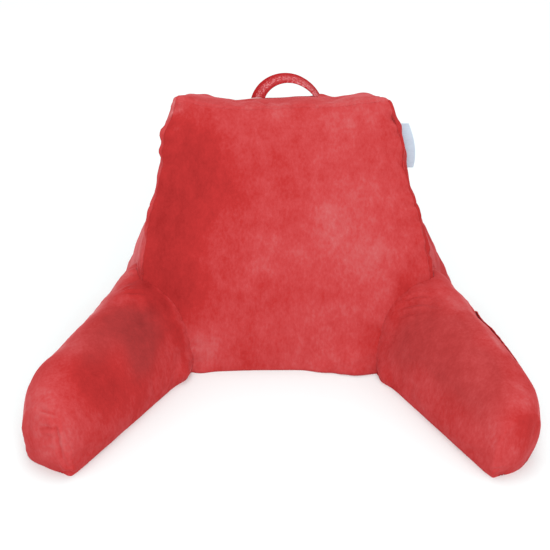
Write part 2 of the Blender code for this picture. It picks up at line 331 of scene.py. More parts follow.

# Patches painted lighter or darker and duller: some follow the velvet's brushed pile, others are
# painted light and shade, as noted above their rows. Columns: place in the picture, radius,
# lighter or darker, duller
PATCHES = {
    "back_cushion": (
        (180, 150, 0.050, -0.80, 0.0), (168, 215, 0.050, -0.80, 0.0),
        (170, 285, 0.050, -0.80, 0.0), (225, 190, 0.045, -0.40, 0.0), (355, 150, 0.060, 0.25, 0.0),
        (350, 230, 0.060, 0.50, 0.0), (375, 290, 0.050, 0.35, 0.0), (205, 350, 0.030, 0.60, 0.0),
        (315, 330, 0.060, 0.25, 0.0), (270, 255, 0.035, 0.40, 0.0), (345, 106, 0.030, 0.30, 0.0),
        (380, 108, 0.018, 0.25, 0.0), (240, 108, 0.025, 0.15, 0.0), (280, 108, 0.020, 0.35, 0.0),
        # (405, 290) and (378, 335) on the next line are painted shade beside the right arm's root.
        (178, 104, 0.012, 0.60, 0.0), (405, 290, 0.018, -0.50, 0.0), (378, 335, 0.018, -0.40, 0.0),
    ),
    "left_arm_cushion": (
        # (140, 285), (158, 306) and (174, 332) are painted shade along the arm's root, (72, 347)
        # is painted sheen along its outer upper edge, and (55, 445) and (35, 400) paint its end
        # lighter where it faces the light.
        (140, 285, 0.020, -0.80, 0.0), (158, 306, 0.019, -0.70, 0.0),
        (174, 332, 0.018, -0.50, 0.0), (145, 330, 0.036, -0.65, 0.60),
        (142, 361, 0.025, -0.30, 0.60), (118, 325, 0.036, -0.45, 0.60),
        (90, 345, 0.028, 0.10, 0.50), (100, 380, 0.036, -0.90, 0.0), (72, 347, 0.020, 0.40, 0.0),
        (130, 395, 0.030, -0.20, 0.0), (55, 445, 0.035, 0.50, 0.0), (35, 400, 0.025, 0.40, 0.0),
    ),
    "right_arm_cushion": (
        (425, 325, 0.040, -0.10, 0.60), (405, 350, 0.032, -0.05, 0.60),
        (440, 350, 0.032, -0.05, 0.60), (460, 330, 0.026, 0.00, 0.50),
        (455, 370, 0.040, -0.05, 0.60), (480, 365, 0.030, 0.05, 0.50),
        # (458, 303) and (495, 343) are painted sheen along the outer upper edge, (520, 395) and
        # (495, 435) paint the end lighter where it faces the light, and (528, 428) is painted
        # shade at the end's outer edge.
        (485, 395, 0.036, 0.10, 0.60), (458, 303, 0.018, 0.50, 0.0), (495, 343, 0.014, 0.25, 0.0),
        (520, 395, 0.020, 0.40, 0.0), (495, 435, 0.025, 0.25, 0.0), (395, 385, 0.018, -0.20, 0.0),
        (528, 428, 0.024, -0.45, 0.0),
    ),
}

# Lines painted lighter or darker, all of them painted light: shade where the left arm meets the
# back, highlights on the top left corner's folds, sheen along the arms' outer upper edges, shade
# along the left arm's root, and shade in its end seam and puckers with highlights above them.
# Columns: lighter or darker, half width, and where each runs in the picture
PAINTED_LIGHT_LINES = {
    "back_cushion": (
        (-0.50, 0.0100, ((139, 271), (139, 282))),
        (0.55, 0.0030, ((164, 121), (171, 114), (181, 110))),
        (0.35, 0.0030, ((171, 132), (180, 127))),
    ),
    "left_arm_cushion": (
        (0.95, 0.0150, ((123, 275), (115, 286), (105, 298), (91, 312))),
        (0.55, 0.0150, ((91, 312), (81, 325), (69, 337), (55, 351))),
        (-0.30, 0.0080, ((146, 282), (161, 299), (173, 322), (182, 347), (186, 368))),
        (-0.30, 0.0018, ((54, 411), (56, 428), (58, 441), (62, 457))),
        (-0.30, 0.0018, ((43, 411), (49, 413), (53, 414))),
        (-0.30, 0.0018, ((41, 429), (48, 428), (54, 429))),
        (0.22, 0.0028, ((44, 413), (52, 416))),
        (0.22, 0.0028, ((44, 425), (53, 425))),
    ),
    "right_arm_cushion": (
        (0.60, 0.0060, ((454, 288), (469, 305), (485, 326), (504, 351))),
    ),
}


# ---- the cushions' form

def crown(a, b, height):
    """How far stuffing lifts a panel at (a, b), each from -1 to 1 between its seams."""
    return height * (1.0 - abs(a) ** CROWN_FULLNESS) * (1.0 - abs(b) ** CROWN_FULLNESS)


def tuck_depth(edge, along):
    """How far the tucks of an edge pull it in, at a place along it."""
    return sum(
        depth * math.exp(-(((along - where) / width) ** 2))
        for tucked, where, depth, width in TUCKS
        if tucked == edge
    )


def front_lip(side, rise):
    """How far the front panel's seam stands out past the gusset, at a share of the slope."""
    return float(np.interp(rise, *zip(*FRONT_LIPS[side])))


def slope_way():
    """The way up the front panel."""
    return Vector((0.0, math.sin(BACK_LEAN), math.cos(BACK_LEAN)))


def through_way():
    """The way through the back cushion, square to its front panel."""
    return Vector((0.0, math.cos(BACK_LEAN), -math.sin(BACK_LEAN)))


def front_half_width(rise):
    """Half the front panel's width at a share of its slope."""
    return (FRONT_WIDTH_FOOT + (FRONT_WIDTH_TOP - FRONT_WIDTH_FOOT) * rise) / 2.0


def back_depth(rise):
    """How deep the back cushion is between its seams at a share of its slope."""
    return DEPTH_FOOT + (DEPTH_TOP - DEPTH_FOOT) * rise


def clamp(value):
    """A number, kept from 0 to 1."""
    return min(max(value, 0.0), 1.0)


def backrest_point(u, v, w):
    """A point of the back cushion: u across, v from floor to top, w from front to back."""
    rise = (v + 1.0) / 2.0
    depth_share = (w + 1.0) / 2.0
    level_way = Vector((0.0, 1.0, 0.0))
    point = slope_way() * (FRONT_SLOPE * rise)
    point += level_way.lerp(through_way(), rise) * (back_depth(rise) * depth_share)
    flare = GUSSET_FLARE[math.copysign(1.0, u)] * depth_share * (1.0 - rise) ** FLARE_FADE
    lip = front_lip(math.copysign(1.0, u), rise) * max(0.0, 1.0 - depth_share / LIP_REACH) ** 2
    point.x = BACK_SHIFT + u * (front_half_width(rise) + lip + flare - tuck_depth("side", rise))
    if w == -1.0:
        point -= through_way() * crown(u, v, CROWN_FRONT)
    if w == 1.0:
        point += through_way() * crown(u, v, CROWN_BACK)
    if abs(u) == 1.0:
        point.x += u * crown(v, w, CROWN_SIDE)
    if v == 1.0:
        point += slope_way() * crown(u, w, CROWN_TOP)
    corner = (abs(u) * rise) ** CORNER_FADE
    ear = CORNER_EAR[math.copysign(1.0, u)] * corner
    point.x += math.copysign(ear, u)
    sag = TOP_SAG * (1.0 - u * u) + tuck_depth("top", u)
    point += slope_way() * (ear - sag * rise ** SAG_FADE)
    foot = (1.0 - rise) ** FOOT_FADE
    point.y -= (FOOT_FORWARD - FOOT_HOLLOW * (1.0 - u * u)) * foot * (1.0 - depth_share)
    point -= slope_way() * (BELOW_FLOOR * foot)
    return point


def section_at(share):
    """An arm's section at a share of its length, eased between the rows of its table."""
    for (start, *low), (end, *high) in zip(ARM_SECTIONS, ARM_SECTIONS[1:]):
        if share <= end:
            step = clamp((share - start) / (end - start))
            step = step * step * (3.0 - 2.0 * step)
            return [a + (b - a) * step for a, b in zip(low, high)]
    return list(ARM_SECTIONS[-1][1:])


def arm_share(w):
    """The shares of an arm's length at places along its cage."""
    return np.sin((w + 1.0) * np.pi / 4.0)


def arm_ways(side, splay):
    """The level ways along an arm to its end, and outwards across it."""
    turn = math.radians(splay)
    ahead = Vector((side * math.sin(turn), -math.cos(turn), 0.0))
    outwards = Vector((side * math.cos(turn), math.sin(turn), 0.0))
    return ahead, outwards


def arm_point(side, heel_x, heel_y, splay, fullness, end_foot):
    """The function that places a point of an arm: u across, v up, w from tail to end."""
    heel = Vector((side * heel_x, heel_y, 0.0))
    ahead, outwards = arm_ways(side, splay)

    def place(u, v, w):
        along = math.sin((w + 1.0) * math.pi / 4.0)
        half, height, lean, drawn = section_at(along)
        half *= fullness
        fullest = ARM_FULLEST * height
        power, rise = FOOT_ROUND, fullest + ARM_BELOW_FLOOR
        if u > 0.0:
            power += (end_foot - FOOT_ROUND) * along ** 5
        if v > 0.0:
            power, rise = TOP_ROUND, height - fullest
        reach = max(abs(u), abs(v))
        rounding = 0.0
        if reach > 0.0:
            rounding = reach / (abs(u) ** power + abs(v) ** power) ** (1.0 / power)
        level = fullest + v * rounding * rise
        point = heel + ahead * (ARM_REACH * along - ARM_TAIL * (1.0 - along))
        point += outwards * (drawn + half * (1.0 + u * rounding) + lean * level)
        point.z = level
        if w == 1.0:
            point += ahead * crown(u, v, END_CROWN)
        return point

    return place


# ---- mesh helpers

def only(piece):
    """Deselect everything but one piece, and make it the active one."""
    bpy.ops.object.select_all(action="DESELECT")
    piece.select_set(True)
    bpy.context.view_layer.objects.active = piece


def apply(piece, modifier):
    """Apply one modifier of a piece."""
    only(piece)
    bpy.ops.object.modifier_apply(modifier=modifier.name)


def soften(piece, levels):
    """Subdivide a piece smoothly, and keep the result."""
    smooth = piece.modifiers.new("Soft form", "SUBSURF")
    smooth.levels = levels
    smooth.render_levels = levels
    apply(piece, smooth)


def points_of(piece):
    """A piece's points as an array."""
    points = np.zeros(len(piece.data.vertices) * 3)
    piece.data.vertices.foreach_get("co", points)
    return points.reshape(-1, 3)


def set_points(piece, points):
    """Put a piece's points where an array says."""
    piece.data.vertices.foreach_set("co", np.asarray(points, np.float32).ravel())
    piece.data.update()


def normals_of(piece):
    """A piece's normals at its points, as an array."""
    normals = np.zeros(len(piece.data.vertices) * 3)
    piece.data.vertex_normals.foreach_get("vector", normals)
    return normals.reshape(-1, 3)


def cage_of(piece):
    """Where each point of a cushion lies on its cage: across, up and along."""
    cage = np.zeros(len(piece.data.vertices) * 3)
    piece.data.attributes["cage"].data.foreach_get("vector", cage)
    return cage.reshape(-1, 3)


def cushion_cage(name, cuts, place):
    """A cube gridded in edit mode, with its points where the form's function puts them."""
    bpy.ops.object.select_all(action="DESELECT")
    bpy.ops.mesh.primitive_cube_add(size=2.0)
    piece = bpy.context.object
    piece.name = piece.data.name = name
    bpy.ops.object.mode_set(mode="EDIT")
    bpy.ops.mesh.select_all(action="SELECT")
    bpy.ops.mesh.subdivide(number_cuts=cuts)
    bpy.ops.object.mode_set(mode="OBJECT")
    cage = np.round(points_of(piece) * (cuts + 1)) / (cuts + 1)
    kept = piece.data.attributes.new("cage", "FLOAT_VECTOR", "POINT")
    kept.data.foreach_set("vector", cage.astype(np.float32).ravel())
    set_points(piece, [place(*(float(x) for x in point)) + MIDDLE for point in cage])
    shape = bmesh.new()
    shape.from_mesh(piece.data)
    inside_out = shape.calc_volume(signed=True) < 0.0
    shape.free()
    if inside_out:
        piece.data.flip_normals()
    piece.data.shade_smooth()
    return piece


def add_loops(piece, axis, reach, cuts, ends=(-1.0, 1.0)):
    """Cut more loops beside the seams at the ends of one of the cage's axes."""
    only(piece)
    bpy.ops.object.mode_set(mode="EDIT")
    bpy.ops.mesh.select_mode(type="EDGE")
    bpy.ops.mesh.select_all(action="DESELECT")
    grid = bmesh.from_edit_mesh(piece.data)
    layer = grid.verts.layers.float_vector["cage"]
    for edge in grid.edges:
        start, end = (vert[layer] for vert in edge.verts)
        turned = [n for n in range(3) if abs(start[n] - end[n]) > 1e-4]
        nearest = min(start[axis], end[axis], key=abs)
        near = any(nearest * side > 1.0 - reach for side in ends)
        edge.select_set(turned == [axis] and near)
    bmesh.update_edit_mesh(piece.data)
    bpy.ops.mesh.subdivide(number_cuts=cuts)
    bpy.ops.object.mode_set(mode="OBJECT")


def inflate(piece, held, bulge, share=1.0):
    """Press the cover out between its seams with simulated cloth. held is 1 where a point can't
    move, every move stays under bulge, and share is how much of its move each point keeps."""
    rest = points_of(piece)
    group = piece.vertex_groups.new(name="held")
    for index in np.nonzero(held > 0.0)[0]:
        group.add([int(index)], float(held[index]), "REPLACE")
    cloth = piece.modifiers.new("Stuffing", "CLOTH")
    settings = cloth.settings
    settings.quality = SIM_QUALITY
    settings.mass = SIM_MASS
    settings.tension_stiffness = settings.compression_stiffness = SIM_STRETCH
    settings.shear_stiffness = SIM_SHEAR
    settings.bending_stiffness = SIM_BEND
    settings.effector_weights.gravity = 0.0
    settings.use_pressure = True
    settings.uniform_pressure_force = SIM_PRESSURE
    settings.shrink_min = settings.shrink_max = -SIM_GROWTH
    settings.vertex_group_mass = group.name
    cloth.collision_settings.use_self_collision = False
    cloth.point_cache.frame_start = 1
    cloth.point_cache.frame_end = SIM_STEPS
    for step in range(1, SIM_STEPS + 1):
        bpy.context.scene.frame_set(step)
    apply(piece, cloth)
    bpy.context.scene.frame_set(1)
    piece.vertex_groups.clear()
    moved = points_of(piece) - rest
    far = np.linalg.norm(moved, axis=1, keepdims=True)
    set_points(piece, rest + moved * share * bulge / (bulge + far))


def stand_flat(piece):
    """Cut off what would reach below the floor, and close the foot."""
    only(piece)
    bpy.ops.object.mode_set(mode="EDIT")
    bpy.ops.mesh.select_all(action="SELECT")
    bpy.ops.mesh.bisect(
        plane_co=(0.0, 0.0, 0.0), plane_no=(0.0, 0.0, 1.0), use_fill=True, clear_inner=True
    )
    bpy.ops.object.mode_set(mode="OBJECT")


def wander(places, spacing, seed):
    """Smooth noise from -1 to 1 at each place, with features about spacing apart."""
    shift = Vector((seed * 7.31, seed * 3.17, seed * 5.53))
    return np.array([noise.noise(Vector(place) / spacing + shift) for place in places])


def surface_tree(piece):
    """A piece's faces, to find the nearest of them, or where a line meets them."""
    faces = [tuple(face.vertices) for face in piece.data.polygons]
    return BVHTree.FromPolygons([tuple(point) for point in points_of(piece)], faces)


# ---- the picture

def sight(x, y):
    """The way from the camera through a place in the picture, in pixels."""
    ahead = Vector((0.0, math.cos(EYE_DOWN), -math.sin(EYE_DOWN)))
    upwards = Vector((0.0, math.sin(EYE_DOWN), math.cos(EYE_DOWN)))
    way = ahead * FOCAL_PIXELS + upwards * (PICTURE / 2.0 - y)
    way.x = x - PICTURE / 2.0
    return way.normalized()


def seen_at(tree, x, y):
    """The place on a piece that shows at a place in the picture, or the nearest to it."""
    way = sight(x, y)
    place = tree.ray_cast(EYE, way)[0]
    if place is None:
        distances = (SEARCH_FROM + SEARCH_STEP * step for step in range(SEARCH_STEPS))
        tries = (tree.find_nearest(EYE + way * distance) for distance in distances)
        place = min(tries, key=lambda found: found[3])[0]
    return np.array(place)


def line_gap(points, line):
    """Each point's distance from a line through several places, and its share of the way along."""
    gap = np.full(len(points), FAR_OFF)
    share = np.zeros(len(points))
    for step, (start, end) in enumerate(zip(line, line[1:])):
        way = end - start
        along = np.clip(((points - start) @ way) / (way @ way), 0.0, 1.0)
        far = np.linalg.norm(points - start - along[:, None] * way, axis=1)
        nearer = far < gap
        gap[nearer] = far[nearer]
        share[nearer] = (step + along[nearer]) / (len(line) - 1)
    return gap, share


def sink(piece, depth):
    """Move a piece's points in along their normals, and keep the foot on the floor."""
    points = points_of(piece)
    above = points[:, 2].copy()
    points -= normals_of(piece) * depth[:, None]
    points[:, 2] = np.where(above < ON_FLOOR, above, np.maximum(points[:, 2], ON_FLOOR))
    set_points(piece, points)


def dress(piece):
    """Give a piece the lumps of its stuffing and its own creases."""
    tree = surface_tree(piece)
    points = points_of(piece)
    depth = np.zeros(len(points))
    for height, spacing, seed in UNEVEN:
        depth -= height * wander(points, spacing, seed)
    for x, y, radius, height in LUMPS[piece.name]:
        far = np.linalg.norm(points - seen_at(tree, x, y), axis=1)
        depth -= height * np.exp(-((far / radius) ** 2))
    for deep, half, line in CREASES[piece.name]:
        gap, share = line_gap(points, [seen_at(tree, *place) for place in line])
        fade = np.sin(np.pi * np.clip(share, 0.04, 0.96)) ** 0.6
        lip = np.exp(-(((gap - CREASE_LIP_AT * half) / half) ** 2))
        depth += deep * fade * (np.exp(-((gap / half) ** 2)) - CREASE_LIP * lip)
    sink(piece, depth)


# ---- sewing

def root_line(arm, back):
    """Places along the line where an arm's cover goes into the back cushion's, as a tree."""
    tree = surface_tree(back)
    points = points_of(arm)
    inside = np.zeros(len(points))
    for index, point in enumerate(points):
        place, normal, _, _ = tree.find_nearest(Vector(point), 0.02)
        if place is not None:
            inside[index] = (Vector(point) - place).dot(normal)
    edges = np.zeros(len(arm.data.edges) * 2, np.int32)
    arm.data.edges.foreach_get("vertices", edges)
    start, end = edges.reshape(-1, 2).T
    through = np.nonzero(inside[start] * inside[end] < 0.0)[0]
    start, end = start[through], end[through]
    share = inside[start] / (inside[start] - inside[end])
    places = points[start] + (points[end] - points[start]) * share[:, None]
    line = KDTree(len(places))
    for index, place in enumerate(places):
        line.insert(Vector(place), index)
    line.balance()
    return line


def gather(piece, line, seed):
    """Draw a cover in to a seam that another piece is sewn on with."""
    points = points_of(piece)
    gap = np.full(len(points), FAR_OFF)
    anchors = points.copy()
    for index, point in enumerate(points):
        place, _, far = line.find(Vector(point))
        if far < ROOT_FAR:
            gap[index] = far
            anchors[index] = place
    near = np.nonzero(gap < ROOT_FAR)[0]
    gap = gap[near]
    tug = wander(anchors[near], ROOT_PUCKER_SPACING, seed)
    longer = wander(anchors[near], ROOT_LONGER_SPACING, seed + 1.0)
    pucker = np.clip(1.0 - np.abs(tug) * ROOT_PUCKER_NARROW, 0.0, 1.0) ** 2
    reach = ROOT_PUCKER_REACH * (1.0 + 0.8 * longer)
    fall = ROOT_DEPTH[piece.name] * (1.0 + 0.5 * longer) * np.exp(-gap / ROOT_REACH)
    fall += ROOT_PUCKER_DEPTH * pucker * np.exp(-gap / reach)
    fall -= ROOT_WAVE_DEPTH * tug * np.exp(-gap / ROOT_WAVE_REACH)
    depth = np.zeros(len(points))
    depth[near] = fall
    sink(piece, depth)


def draw_in(piece, gap, anchors, seed, depth=1.0, ripple=0.0):
    """Pull a cover in along a seam, with puckers. gap is each point's distance from the seam, and
    anchors are places that don't change across it."""
    near = np.nonzero(gap < 5.0 * PUCKER_REACH)[0]
    gap = gap[near]
    tug = wander(anchors[near], PUCKER_SPACING, seed)
    longer = wander(anchors[near], PUCKER_SPACING * 2.0, seed + 1.0)
    pucker = np.clip(1.0 - np.abs(tug) * PUCKER_NARROW, 0.0, 1.0) ** 2
    reach = PUCKER_REACH * (1.0 + 0.9 * longer)
    fall = SEAM_DEPTH * np.exp(-((gap / SEAM_HALF_WIDTH) ** 2))
    fall += PUCKER_DEPTH * pucker * np.exp(-gap / reach)
    fall -= PUCKER_TUG * PUCKER_DEPTH * tug * np.exp(-gap / (2.0 * reach))
    fall -= ripple * wander(anchors[near], RIPPLE_SPACING, seed + 2.0) * np.exp(-gap / reach)
    sunk = np.zeros(len(piece.data.vertices))
    sunk[near] = np.broadcast_to(depth, len(sunk))[near] * fall
    sink(piece, sunk)


# ---- back cushion

def back_seams(cage):
    """Each point's distance from the seam round the front panel or round the back panel, and the
    nearest place on that seam."""
    u, v, w = cage.T
    rise = (v + 1.0) / 2.0
    depth = back_depth(rise)
    to_side = (1.0 - np.abs(u)) * front_half_width(rise)
    to_top = (1.0 - v) * FRONT_SLOPE / 2.0
    from_front = (w + 1.0) / 2.0 * depth
    from_back = (1.0 - w) / 2.0 * depth
    on_panel = np.abs(w) > ON_PANEL
    gap = np.where(on_panel, np.minimum(to_side, to_top), np.minimum(from_front, from_back))
    nearest = np.stack([u, v, np.sign(w + 1e-9)], axis=1)
    sideways = on_panel & (to_side < to_top)
    nearest[sideways, 0] = np.sign(u[sideways])
    upwards = on_panel & ~sideways
    nearest[upwards, 1] = 1.0
    scale = np.array([FRONT_WIDTH_TOP / 2.0, FRONT_SLOPE / 2.0, DEPTH_TOP / 2.0])
    return gap, nearest * scale


def make_back():
    """The back cushion, before the arms are sewn to it."""
    piece = cushion_cage("back_cushion", BACK_CUTS, backrest_point)
    soften(piece, 2)
    reach = 0.5 / (BACK_CUTS + 1) * 1.01  # a little past the first row of the softened cage
    add_loops(piece, 0, reach, 3)
    add_loops(piece, 1, reach, 2, ends=(1.0,))
    add_loops(piece, 2, reach, 1)
    gap, _ = back_seams(cage_of(piece))
    level = points_of(piece)[:, 2]
    held = np.where((gap < HELD_SEAM) | (level < HELD_LEVEL), 1.0, 0.0)
    inflate(piece, held, BACK_BULGE)
    return piece


def sew_back(piece):
    """Draw the back cushion's seams in."""
    soften(piece, 1)
    stand_flat(piece)
    gap, anchors = back_seams(cage_of(piece))
    draw_in(piece, gap, anchors, 1.0, ripple=RIPPLE_DEPTH)


# ---- arms

def make_arm(name, lie):
    """One arm, before it is trimmed to the back cushion."""
    piece = cushion_cage(name, ARM_CUTS, arm_point(*lie))
    soften(piece, 2)
    add_loops(piece, 2, 3.0, 1)  # a reach that takes in the whole cage
    w = cage_of(piece)[:, 2]
    level = points_of(piece)[:, 2]
    held = np.where((w > ON_PANEL) | (level < HELD_LEVEL) | (w < HELD_TAIL), 1.0, 0.0)
    share = np.clip((1.0 - arm_share(w)) / SIM_FADE, 0.0, 1.0)
    inflate(piece, held, ARM_BULGE, share[:, None])
    return piece


def sew_arm(piece):
    """Draw an arm's own seams in, round the lower part of its end and along its outer top edge."""
    soften(piece, 1)
    stand_flat(piece)
    u, v, w = cage_of(piece).T
    along = arm_share(w)
    from_end = (ARM_REACH + ARM_TAIL) * (1.0 - along)
    on_end = w > ON_PANEL
    rim = np.minimum((u ** 6 + v ** 6) ** (1.0 / 6.0), 1.0)
    spread = np.maximum(rim, RIM_LEAST)
    gap = np.where(on_end, (1.0 - rim) / spread * END_SPREAD, from_end)
    anchors = np.stack([u, v, np.zeros_like(u)], axis=1) * ARM_HALF
    anchors /= spread[:, None]
    lower = np.clip((END_SEAM_TOP - v) / END_SEAM_FADE, 0.0, 1.0)
    gap = np.where(lower > 0.0, gap, FAR_OFF)
    draw_in(piece, gap, anchors, 5.0, depth=END_SEAM[piece.name] * lower)
    on_top = (v > ON_PANEL) & ~on_end
    from_side = np.where(on_top, 1.0 - u, np.where(u > ON_PANEL, 1.0 - v, FAR_OFF)) * ARM_HALF
    from_side = np.where(along > SIDE_SEAM_END, FAR_OFF, from_side)
    anchors = np.stack([np.zeros_like(u), np.zeros_like(u), along * ARM_LONG], axis=1)
    draw_in(piece, from_side, anchors, 9.0, depth=SIDE_SEAM)


def trim_to(piece, cutter_of):
    """Cut a piece off where it meets the cushion that it is sewn to."""
    cutter = cutter_of.copy()
    cutter.data = cutter_of.data.copy()
    bpy.context.scene.collection.objects.link(cutter)
    points = points_of(cutter) + normals_of(cutter) * SEAM_GAP
    points[points_of(cutter)[:, 2] < ON_FLOOR, 2] -= BELOW_FLOOR
    set_points(cutter, points)
    cut = piece.modifiers.new("Root seam", "BOOLEAN")
    cut.operation = "DIFFERENCE"
    cut.solver = "MANIFOLD"
    cut.object = cutter
    apply(piece, cut)
    bpy.data.objects.remove(cutter)
    only(piece)
    bpy.ops.object.mode_set(mode="EDIT")
    bpy.ops.mesh.select_mode(type="EDGE")
    bpy.ops.mesh.select_all(action="DESELECT")
    bpy.ops.mesh.edges_select_sharp(sharpness=ROOT_SHARP)
    bpy.ops.mesh.mark_sharp()
    bpy.ops.object.mode_set(mode="OBJECT")


# ---- strap, tab and pocket

def gridded(name, steps, lanes, place):
    """A gridded plane, with its points where a function of its two coordinates puts them."""
    bpy.ops.object.select_all(action="DESELECT")
    bpy.ops.mesh.primitive_grid_add(x_subdivisions=steps, y_subdivisions=lanes, size=2.0)
    piece = bpy.context.object
    piece.name = piece.data.name = name
    flat = points_of(piece)
    set_points(piece, [place(float(x), float(y)) + MIDDLE for x, y, _ in flat])
    piece.data.shade_smooth()
    return piece


def strap_point(along, across):
    """A point of the carry strap's middle layer, each coordinate from -1 to 1."""
    turn = (1.0 - along) * math.pi / 2.0
    radial = Vector((math.cos(turn), 0.0, 0.0)) + slope_way() * math.sin(turn)
    share = (along + 1.0) / 2.0
    lean = STRAP_LEAN[0] + (STRAP_LEAN[1] - STRAP_LEAN[0]) * share
    middle = slope_way() * FRONT_SLOPE + through_way() * (DEPTH_TOP / 2.0)
    middle.x = STRAP_X
    arch = Vector((math.cos(turn) * STRAP_SPAN / 2.0, 0.0, 0.0))
    arch.x += STRAP_FOOT_OUT * max(0.0, (along - 0.3) / 0.7) ** 1.5
    arch += slope_way() * (math.sin(turn) * (STRAP_RISE + STRAP_SUNK) - STRAP_SUNK)
    width_way = through_way() * math.cos(lean) + radial * math.sin(lean)
    return middle + arch + width_way * (across * STRAP_WIDTH / 2.0)


def strap_skin(along, around):
    """A point of the carry strap's skin, which is thicker at its turned edges."""
    turn = (around + 1.0) * math.pi
    across = math.copysign(abs(math.cos(turn)) ** 0.6, math.cos(turn))
    thick = math.copysign(abs(math.sin(turn)) ** 0.5, math.sin(turn))
    edge, stitch = (
        math.exp(-(((abs(across) - where) / width) ** 2))
        for where, width in (STRAP_HEM, STRAP_STITCH)
    )
    thick *= STRAP_HALF_THICK + STRAP_EDGE * edge - STRAP_STITCH_DEPTH * stitch
    step = 0.01
    ahead = strap_point(along + step, 0.0) - strap_point(along - step, 0.0)
    width_way = strap_point(along, 1.0) - strap_point(along, -1.0)
    outwards = ahead.cross(width_way).normalized()
    return strap_point(along, across) + outwards * thick


def brush_strap(piece):
    """Keep the strap's pile lighter on its face than on its turned edges."""
    line = KDTree(STRAP_TRACE + 1)
    for step in range(STRAP_TRACE + 1):
        line.insert(strap_point(2.0 * step / STRAP_TRACE - 1.0, 0.0) + MIDDLE, step)
    line.balance()
    outer_at, outer_fade, outer_darker = STRAP_OUTER
    inner_at, inner_fade, inner_darker = STRAP_INNER
    nap_and_light = []
    for point in points_of(piece):
        place, step, _ = line.find(Vector(point))
        along = 2.0 * step / STRAP_TRACE - 1.0
        width_way = strap_point(along, 1.0) - strap_point(along, -1.0)
        across = (Vector(point) - place).dot(width_way.normalized()) * 2.0 / STRAP_WIDTH
        outer = clamp((across - outer_at + outer_at * max(along, 0.0)) / outer_fade)
        inner = clamp((-across - inner_at) / inner_fade) * clamp((0.25 - along) * 2.5)
        nap_and_light.append(STRAP_NAP - outer_darker * outer - inner_darker * inner)
    keep(piece, "nap_and_light", nap_and_light)


def make_strap(back):
    """The carry strap, with its feet sewn into the top gusset."""
    piece = gridded("carry_strap", STRAP_STEPS, STRAP_ROUND, strap_skin)
    only(piece)
    bpy.ops.object.mode_set(mode="EDIT")
    bpy.ops.mesh.select_all(action="SELECT")
    bpy.ops.mesh.remove_doubles(threshold=0.00002)
    bpy.ops.mesh.select_all(action="DESELECT")
    bpy.ops.mesh.select_mode(type="EDGE")
    bpy.ops.mesh.select_non_manifold()
    bpy.ops.mesh.fill_holes(sides=0)
    bpy.ops.mesh.select_all(action="SELECT")
    bpy.ops.mesh.normals_make_consistent(inside=False)
    bpy.ops.object.mode_set(mode="OBJECT")
    trim_to(piece, back)
    brush_strap(piece)
    return piece


def tab_point(along, out):
    """A point of the side tab's middle layer, each coordinate from -1 to 1."""
    rise = TAB_RISE + along * TAB_TALL / 2.0 / FRONT_SLOPE
    share = (out + 1.0) / 2.0
    reach = TAB_OUT * (1.0 - TAB_ROUND * along * along - TAB_SLANT * ((1.0 - along) / 2.0) ** 3)
    point = slope_way() * (FRONT_SLOPE * rise) + through_way() * (DEPTH_TOP * TAB_DEPTH)
    point.x = front_half_width(rise) - TAB_ROOT + (TAB_ROOT + reach) * share
    return point + through_way() * (TAB_CURL * along * along * share)


def tab_tape(along, across):
    """A point of the tab's tape, which runs out, round its fold and back in."""
    out = 1.0 - 2.0 * abs(across)
    fold = math.sqrt(max(0.0, 1.0 - max(0.0, (out - (1.0 - TAB_FOLD)) / TAB_FOLD) ** 2))
    apart = math.copysign(TAB_APART * fold, across)
    return tab_point(along, out) + through_way() * apart


def make_tab(back):
    """The blank side tab, sewn into the side seam."""
    piece = gridded("side_tab", *TAB_GRID, tab_tape)
    tape = piece.modifiers.new("Tape", "SOLIDIFY")
    tape.thickness = TAB_TAPE
    tape.offset = 0.0
    apply(piece, tape)
    trim_to(piece, back)
    return piece


def make_pocket(arm, lie):
    """The patch pocket on an arm's outer side, a little open along its upper edge."""
    place = arm_point(*lie)
    low, high = POCKET_ENDS

    def patch_point(along, up):
        w = high + (low - high) * (along + 1.0) / 2.0
        lower = POCKET_ROUND * max(0.0, along) ** 4 + POCKET_DROP * max(0.0, -along) ** 3
        mouth = POCKET_MOUTH - lower
        v = POCKET_FOOT + (mouth - POCKET_FOOT) * (up + 1.0) / 2.0
        return place(1.0, v, w)

    piece = gridded("arm_pocket", *POCKET_GRID, patch_point)
    lay = piece.modifiers.new("Laid on the arm", "SHRINKWRAP")
    lay.target = arm
    lay.wrap_mode = "ABOVE_SURFACE"
    lay.offset = POCKET_LAY
    apply(piece, lay)
    outwards = arm_ways(lie[0], lie[3])[1]
    if normals_of(piece).mean(axis=0) @ np.array(outwards) < 0.0:
        piece.data.flip_normals()
    steps, lanes = POCKET_GRID
    row, column = np.divmod(np.arange(len(piece.data.vertices)), steps + 1)
    from_tail = 1.0 - column / steps
    up = row / lanes
    mouth = np.clip((up - (1.0 - POCKET_SLACK)) / POCKET_SLACK, 0.0, 1.0) ** 1.5
    opening = np.sin(np.pi * np.clip(from_tail / POCKET_OPEN, 0.0, 1.0) ** 0.8) ** 1.4
    lift = POCKET_GAPE * mouth * opening
    lift += POCKET_FULLNESS * np.sin(np.pi * from_tail) * np.sin(np.pi * up)
    lift += POCKET_HEM_STEP * np.clip((up - 1.0 + POCKET_HEM) / 0.01, 0.0, 1.0)
    stitches = (
        (up, POCKET_STITCH),
        (from_tail, POCKET_STITCH),
        (1.0 - from_tail, POCKET_STITCH),
        (1.0 - up, POCKET_HEM),
    )
    for distance, where in stitches:
        lift -= POCKET_STITCH_DEPTH * np.exp(-(((distance - where) / POCKET_STITCH_WIDTH) ** 2))
    set_points(piece, points_of(piece) + normals_of(piece) * lift[:, None])
    # The rows at the mouth's rim are painted darker, a painted shade of the opening under them.
    at_mouth = np.clip((up - 0.93) / 0.05, 0.0, 1.0)
    keep(piece, "nap_and_light", POCKET_NAP + POCKET_MOUTH_SHADE * at_mouth)
    wall = piece.modifiers.new("Cloth", "SOLIDIFY")
    wall.thickness = POCKET_THICK
    wall.offset = 1.0
    apply(piece, wall)
    return piece


# ---- finishes

